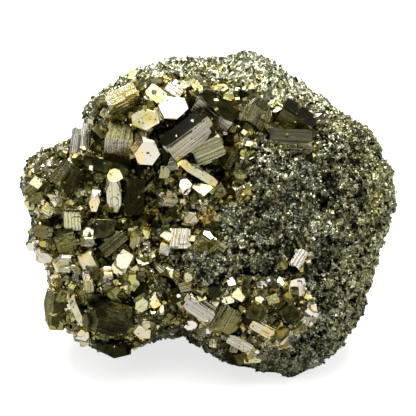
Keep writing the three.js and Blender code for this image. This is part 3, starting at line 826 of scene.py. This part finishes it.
SIGNS = (-1, 1)
CUBE_FACES = [tuple(np.roll((sign, 0, 0), turn)) for turn in range(3) for sign in SIGNS]
CORNERS = [(x, y, z) for x in SIGNS for y in SIGNS for z in SIGNS]
PENTAGONS = [
    tuple(np.roll((0, one, 2 * two), turn)) for turn in range(3) for one in SIGNS for two in SIGNS
]
OFF_TRUE = 0.12  # the most that a plane leans, in each direction
TWIN_SHARE = 0.7  # the smaller of a pair of twins, as a share of the larger
TWIN_TURN, TWIN_SHIFT = (0.3, 1.2), (0.35, 0.75)  # in radians and in mm
SMALLER_ONES = 2.2  # the higher, the more small ones there are for each large one
DENSE = 4e6  # points for each square metre, more than the spacing leaves room for


def habit(name, planes, proportions, seed, twinned=False):
    """
    A small crystal, 1 mm in half size: a block cut back to these planes, a little off true. A
    twinned one has a smaller one grown through its side.
    """
    draw = random.Random(seed)
    bm = bmesh.new()
    bmesh.ops.create_cube(bm, size=3 * MM)
    for normal, reach in planes:
        normal = Vector([float(c) + draw.uniform(-OFF_TRUE, OFF_TRUE) for c in normal])
        spare = draw.uniform(0.84, 1) if reach <= 1 else draw.uniform(0.95, 1.04)
        spot = normal.normalized() * (reach * spare / normal.length) * MM
        everything = bm.verts[:] + bm.edges[:] + bm.faces[:]
        cut = bmesh.ops.bisect_plane(
            bm, geom=everything, dist=1e-6, plane_co=spot, plane_no=normal, clear_outer=True
        )
        rim = [e for e in cut["geom_cut"] if isinstance(e, bmesh.types.BMEdge)]
        if rim:
            bmesh.ops.contextual_create(bm, geom=rim)
    bmesh.ops.scale(bm, vec=Vector(proportions), verts=bm.verts[:])
    bmesh.ops.recalc_face_normals(bm, faces=bm.faces[:])
    axes = growth_axes(bm)
    if twinned:
        whole = bm.verts[:] + bm.edges[:] + bm.faces[:]
        copied = bmesh.ops.duplicate(bm, geom=whole)["geom"]
        turn = Euler([draw.choice((0, draw.uniform(*TWIN_TURN))) for _ in range(3)]).to_matrix()
        shift = Vector([draw.choice(SIGNS) * draw.uniform(*TWIN_SHIFT) * MM for _ in range(3)])
        for v in copied:
            if isinstance(v, bmesh.types.BMVert):
                v.co = turn @ v.co * TWIN_SHARE + shift
    add_growth_lines(bm, axes)
    mesh = bpy.data.meshes.new(name)
    bm.to_mesh(mesh)
    bm.free()
    o = bpy.data.objects.new(name, mesh)
    bpy.context.scene.collection.objects.link(o)
    return o


# Planes are pairs of a normal and how far out they reach: a corner is whole at 3, and clipped more
# the less its plane reaches.
block = [(n, 1) for n in CUBE_FACES]
pentagons = [(n, 2.05) for n in PENTAGONS]
habits = [
    habit("cube", block + [(n, 2.6) for n in CORNERS], (1, 1, 1), 0),
    habit("block", block + [(n, 2.75) for n in CORNERS], (1.3, 0.9, 0.9), 1, True),
    habit("slab", block + [(n, 2.75) for n in CORNERS], (1.2, 1, 0.6), 2, True),
    habit("pyritohedron", pentagons + block, (1, 1, 1), 3),
    habit("rod", block + [(n, 2.75) for n in CORNERS], (1.6, 0.75, 0.7), 4),
    habit("clipped_cube", block + [(n, 2.2) for n in CORNERS], (1, 0.95, 1), 5, True),
    habit("wedge", block + [((1, 0, 1), 1.5), ((0, 1, 1), 1.6)], (1.1, 1, 1), 6, True),
    habit("stub", block + [((1, 1, 0), 1.4), ((-1, 0, 1), 1.7)], (0.9, 1.1, 1), 7),
]


def scatter_tree(name, shapes, material, room, seed):
    """Scatters shapes over a surface: spacing, and the smallest and largest size in mm."""
    tree, given, result = new_geometry_tree(
        name, spacing=1.0 * MM, density=1e6, smallest=0.5, largest=2.0
    )
    density = add(tree, "GeometryNodeInputNamedAttribute", {"Name": room}).outputs[0]
    spread = add(
        tree,
        "GeometryNodeDistributePointsOnFaces",
        {
            "Mesh": given["Geometry"],
            "Distance Min": given["spacing"],
            "Density Max": given["density"],
            "Density Factor": density,
            "Seed": seed,
        },
        distribute_method="POISSON",
    )
    gathered = tree.nodes.new("GeometryNodeJoinGeometry")
    for shape in shapes:
        info = add(tree, "GeometryNodeObjectInfo", {"Object": shape, "As Instance": True})
        tree.links.new(info.outputs["Geometry"], gathered.inputs[0])
    pick = add(tree, "FunctionNodeRandomValue", data_type="INT")
    pick.inputs[4].default_value = 0
    pick.inputs[5].default_value = len(shapes) - 1
    pick.inputs["Seed"].default_value = seed + 1
    turn = add(tree, "FunctionNodeRandomValue", data_type="FLOAT_VECTOR")
    turn.inputs[1].default_value = (math.tau,) * 3
    turn.inputs["Seed"].default_value = seed + 2
    turned = add(tree, "FunctionNodeEulerToRotation", {"Euler": turn.outputs[0]})
    chance = add(tree, "FunctionNodeRandomValue", data_type="FLOAT")
    chance.inputs["Seed"].default_value = seed + 3
    bias = maths(tree, "POWER", chance.outputs[1], SMALLER_ONES)
    size = ranged(tree, bias, 0.0, 1.0, given["smallest"], given["largest"])
    fineness = add(tree, "GeometryNodeInputNamedAttribute", {"Name": "fineness"}).outputs[0]
    size = maths(tree, "MULTIPLY", size, fineness)
    grown = add(
        tree,
        "GeometryNodeInstanceOnPoints",
        {
            "Points": spread.outputs["Points"],
            "Instance": gathered.outputs[0],
            "Pick Instance": True,
            "Instance Index": pick.outputs[2],
            "Rotation": turned.outputs[0],
            "Scale": size,
        },
    )
    marked = grown.outputs[0]
    for step, mark in enumerate(("tone", "lines")):
        luck = add(tree, "FunctionNodeRandomValue", data_type="FLOAT")
        luck.inputs["Seed"].default_value = seed + 4 + step
        value = luck.outputs[1]
        if mark == "tone":
            # A crystal in a hollow gets a lower tone: painted shade, and tarnish.
            share = add(tree, "GeometryNodeInputNamedAttribute", {"Name": "clean"}).outputs[0]
            value = maths(tree, "MULTIPLY", value, maths(tree, "MULTIPLY_ADD", share, 0.75, 0.25))
        stored = add(
            tree,
            "GeometryNodeStoreNamedAttribute",
            {"Geometry": marked, "Name": mark, "Value": value},
            data_type="FLOAT",
            domain="INSTANCE",
        )
        marked = stored.outputs[0]
    end_tree(tree, marked, material, result)
    return tree


def scattered(name, surface, shapes, material, slot, room, seed, **sizes):
    """Scatters shapes over a surface, as a piece of its own."""
    tree = scatter_tree(name, shapes, material, room, seed)
    place(name, with_nodes(surface, tree, **sizes), slot)


for piece_name, room, seed, spacing, smallest, largest in (
    ("blocky_crystals", "room_for_blocks", 7, 2.9 * MM, 1.1, 2.2),
    ("small_crystals", "room_for_blocks", 11, 1.7 * MM, 0.7, 1.7),
    ("tiny_crystals", "room_for_sparkle", 17, 0.95 * MM, 0.3, 0.95),
    ("knotted_crystals", "room_for_knots", 19, 0.8 * MM, 0.4, 1.0),
):
    scattered(
        piece_name, skin, habits, crystal_metal, "crystal_pyrite", room, seed,
        spacing=spacing, density=DENSE, smallest=smallest, largest=largest,
    )


# =============================================================================================
# The overgrowth. Tiny crystals that settled on the large ones after these had grown, thickly round
# their foot and here and there on their faces.
# =============================================================================================

FOOT_REACH, ON_FACES = (0.4 * MM, 2 * MM), 0.12  # above the foot only this share is left
OVERGROWTH_DENSITY, OVERGROWTH_OPENNESS = 6e5, 0.8

grown = [bpy.data.objects[name + "_grown"] for name in large_names]
points, faces = gathered(grown)
overgrown = bpy.data.meshes.new("overgrown")
overgrown.from_pydata(points, [], faces)
skin_faces = surface_tree([bpy.data.objects["lump_skin"]])
low_down = [np.interp(nearest(skin_faces, p), FOOT_REACH, (1, ON_FACES)) for p in points]
set_attribute(overgrown, "room_for_overgrowth", "POINT", low_down)
# The overgrowth gets an even, slight share of the hollows' painted shade and tarnish.
set_attribute(overgrown, "clean", "POINT", [OVERGROWTH_OPENNESS] * len(points))
set_attribute(overgrown, "fineness", "POINT", [1] * len(points))
scattered(
    "overgrowth", overgrown, habits, crystal_metal, "crystal_pyrite", "room_for_overgrowth", 23,
    spacing=1.2 * MM, density=OVERGROWTH_DENSITY, smallest=0.18, largest=0.6,
)


# =============================================================================================
# The bright crystals. Clean cubes of 2 to 4 mm among the small ones, each of which happens to turn
# one face to the light and flashes white.
# =============================================================================================

# To the right and up on the face and half size, in mm, and how far the edges are turned from level.
BRIGHT = (
    (-23, 8.6, 1.9, 20), (-42.2, 7.2, 1.5, -35), (-38.4, 4.2, 1.1, 40), (-29.5, -5, 1.2, 0),
    (-20.6, -12.2, 2.0, 55), (-16, -12, 1.5, 20), (-5.7, 6.6, 1.5, 35), (-15, -27.8, 1.0, 30),
    (-18.4, 34, 1.5, -8), (-4.6, 31.2, 1.5, 15), (7.8, -20.4, 1.7, -30), (4.8, -21.4, 1.5, 10),
    (8.8, -27.4, 1.4, 45), (14.6, -31.8, 1.3, 5), (17, -31.6, 1.2, 25), (6.3, -33.3, 1.7, -20),
    (10.5, 31.2, 1.0, 0), (1.5, -22, 1.2, -35), (-33.8, -17.2, 1.1, -25), (-13.2, -8.6, 1.1, 15),
    (-1.5, -20.8, 1.1, 20), (12.5, -21.5, 1.0, 60), (21, -28, 0.9, 10), (2.5, -30, 1.0, -15),
)
TO_THE_LIGHT = 18  # degrees that a clean face looks up, past the whole face, to mirror the light
RISE_SPREAD, SIDE_SPREAD = 3, 4  # degrees that it may be off by, up and down and to the sides
BRIGHT_SINK = 0.3  # how deep it is sunk, as a share of its half size
BRIGHT_TONES, BRIGHT_LINES = (0.45, 0.9), 0.3
LOOK = Vector(FACE_DIRECTION)
CLEAR = 60  # mm in front of the middle, from where their places are found

front_faces = surface_tree(grown + [bpy.data.objects[n] for n in ("lump_skin", "blocky_crystals")])
cubes = [o for o in habits if "cube" in o.name]
tones = []
bm = bmesh.new()
for number, (right, up, half_size, roll) in enumerate(BRIGHT):
    draw = random.Random(number)
    start = FACE_MIDDLE + Vector((right * MM, 0, 0)) + FACE_UP * up * MM + LOOK * CLEAR * MM
    spot = front_faces.ray_cast(start, -LOOK)[0] - LOOK * BRIGHT_SINK * half_size * MM
    rise = TO_THE_LIGHT + draw.uniform(-RISE_SPREAD, RISE_SPREAD)
    aside = math.radians(draw.uniform(-SIDE_SPREAD, SIDE_SPREAD))
    turned = Euler((math.pi / 2 - FACE_LEAN - math.radians(rise), 0, 0)).to_matrix()
    turned @= Euler((0, aside, math.radians(roll))).to_matrix()
    known = len(bm.verts)
    bm.from_mesh(draw.choice(cubes).data)
    bm.verts.ensure_lookup_table()
    for v in bm.verts[known:]:
        v.co = spot + turned @ v.co * half_size
    tones += [draw.uniform(*BRIGHT_TONES)] * (len(bm.verts) - known)
mesh = bpy.data.meshes.new("bright_crystals")
bm.to_mesh(mesh)
bm.free()
set_attribute(mesh, "tone", "POINT", tones)
set_attribute(mesh, "lines", "POINT", [BRIGHT_LINES] * len(tones))
mesh.materials.append(crystal_metal)
place("bright_crystals", mesh, "crystal_pyrite")


# =============================================================================================
# The grains. Sugar grains and small chunks of pyrite, under 3 mm, which cover the massive pyrite
# wherever no crystals do.
# =============================================================================================

clipped = [(n, 2.2) for n in CORNERS[:3]]
grain = habit("grain", block + clipped[:2], (0.5, 0.42, 0.38), 3)
chunk = habit("chunk", block + clipped, (1.0, 0.75, 0.6), 5)
for piece_name, shape, room, seed, spacing, smallest, largest in (
    ("grains", grain, "room_for_grains", 31, 0.86 * MM, 0.35, 1.4),
    ("chunks", chunk, "room_for_grains", 37, 2.6 * MM, 0.5, 1.3),
    ("back_grains", grain, "room_for_back_grains", 41, 1.1 * MM, 0.6, 2.0),
    ("back_chunks", chunk, "room_for_back_grains", 43, 2.6 * MM, 0.6, 1.5),
):
    scattered(
        piece_name, skin, [shape], massive_metal, "massive_pyrite", room, seed,
        spacing=spacing, density=DENSE, smallest=smallest, largest=largest,
    )
for shape in habits + [grain, chunk]:
    bpy.data.objects.remove(shape)


# =============================================================================================
# The studio: a white table, soft boxes above, beside and behind, and a camera that looks square
# on to the crystal field.
# =============================================================================================

TABLE_SIDE = 6.0
TABLE_WHITE, TABLE_GLOW = (0.75, 0.75, 0.75, 1), 0.75  # the glow is for the camera only
DARK_WALL, BRIGHT_WALL = (0.055, 0.055, 0.052), (0.37, 0.37, 0.352)
BACKDROP_GLOW = 1.05
SENSOR_WIDTH, LENS = 36, 600  # a long lens, so that the face is seen square on all over
FIELD_WIDTH = 103.4 * MM  # how much of the specimen's plane the picture takes in
AIM_RISE = 1.25 * MM  # the camera looks this far over the middle of the face

bm = bmesh.new()
bmesh.ops.create_grid(bm, x_segments=1, y_segments=1, size=TABLE_SIDE / 2)
table_mesh = bpy.data.meshes.new("table")
bm.to_mesh(table_mesh)
bm.free()
table = bpy.data.objects.new("table", table_mesh)
bpy.context.scene.collection.objects.link(table)
white = bpy.data.materials.new("white_table")
white.use_nodes = True
paint = white.node_tree.nodes["Principled BSDF"]
paint.inputs["Base Color"].default_value = TABLE_WHITE
paint.inputs["Roughness"].default_value = 0.8
paint.inputs["Emission Color"].default_value = (1, 1, 1, 1)
lit = add(white.node_tree, "ShaderNodeLightPath").outputs["Is Camera Ray"]
white.node_tree.links.new(
    maths(white.node_tree, "MULTIPLY", lit, TABLE_GLOW), paint.inputs["Emission Strength"]
)
table_mesh.materials.append(white)

world = bpy.data.worlds.new("studio")
bpy.context.scene.world = world
world.use_nodes = True
walls = world.node_tree
walls.nodes.clear()
seen = add(walls, "ShaderNodeLightPath").outputs["Is Camera Ray"]
way = add(walls, "ShaderNodeTexCoord").outputs["Generated"]
corners = add(walls, "ShaderNodeTexNoise", {"Vector": way, "Scale": 2.4, "Detail": 2}).outputs[0]
mirrored = ramp(walls, corners, (0.42, DARK_WALL), (0.66, BRIGHT_WALL))
dark = add(walls, "ShaderNodeBackground", {"Color": mirrored, "Strength": 1.0})
bright = add(walls, "ShaderNodeBackground", {"Color": (1, 1, 1, 1), "Strength": BACKDROP_GLOW})
mixed = add(walls, "ShaderNodeMixShader", {0: seen, 1: dark.outputs[0], 2: bright.outputs[0]})
add(walls, "ShaderNodeOutputWorld", {"Surface": mixed.outputs[0]})


def soft_box(name, azimuth, elevation, distance, size, radiance):
    """A soft box that looks at the specimen, its brightness given as what a mirror would show."""
    a, e = math.radians(azimuth), math.radians(elevation)
    back = Vector((math.sin(a) * math.cos(e), -math.cos(a) * math.cos(e), math.sin(e)))
    light = bpy.data.lights.new(name, "AREA")
    light.shape = "RECTANGLE"
    light.size, light.size_y = size
    light.energy = radiance * math.pi * size[0] * size[1]
    lamp = bpy.data.objects.new(name, light)
    lamp.location = FACE_MIDDLE + back * distance
    lamp.rotation_euler = back.to_track_quat("Z", "Y").to_euler()
    lamp.visible_camera = False
    bpy.context.scene.collection.objects.link(lamp)


soft_box("key", -6, 57, 0.55, (0.46, 0.38), 1.4)
soft_box("key_core", 9, 60, 0.54, (0.16, 0.15), 1.8)
soft_box("overhead", 0, 98, 0.55, (0.5, 0.34), 6.5)
soft_box("right", 75, 30, 0.6, (0.25, 0.35), 1.6)
soft_box("left", -80, 25, 0.6, (0.22, 0.35), 2.0)
soft_box("behind", 180, 50, 0.6, (0.5, 0.3), 5.0)

camera_data = bpy.data.cameras.new("camera")
camera_data.lens = LENS
camera_data.sensor_width = SENSOR_WIDTH
camera = bpy.data.objects.new("camera", camera_data)
back = Vector(FACE_DIRECTION)
aim = FACE_MIDDLE + FACE_UP * AIM_RISE
camera.location = aim + back * (FIELD_WIDTH * LENS / SENSOR_WIDTH)
camera.rotation_euler = back.to_track_quat("Z", "Y").to_euler()
camera_data.clip_start, camera_data.clip_end = 0.01, 20
bpy.context.scene.collection.objects.link(camera)
bpy.context.scene.camera = camera
bpy.context.scene.view_settings.view_transform = "Standard"
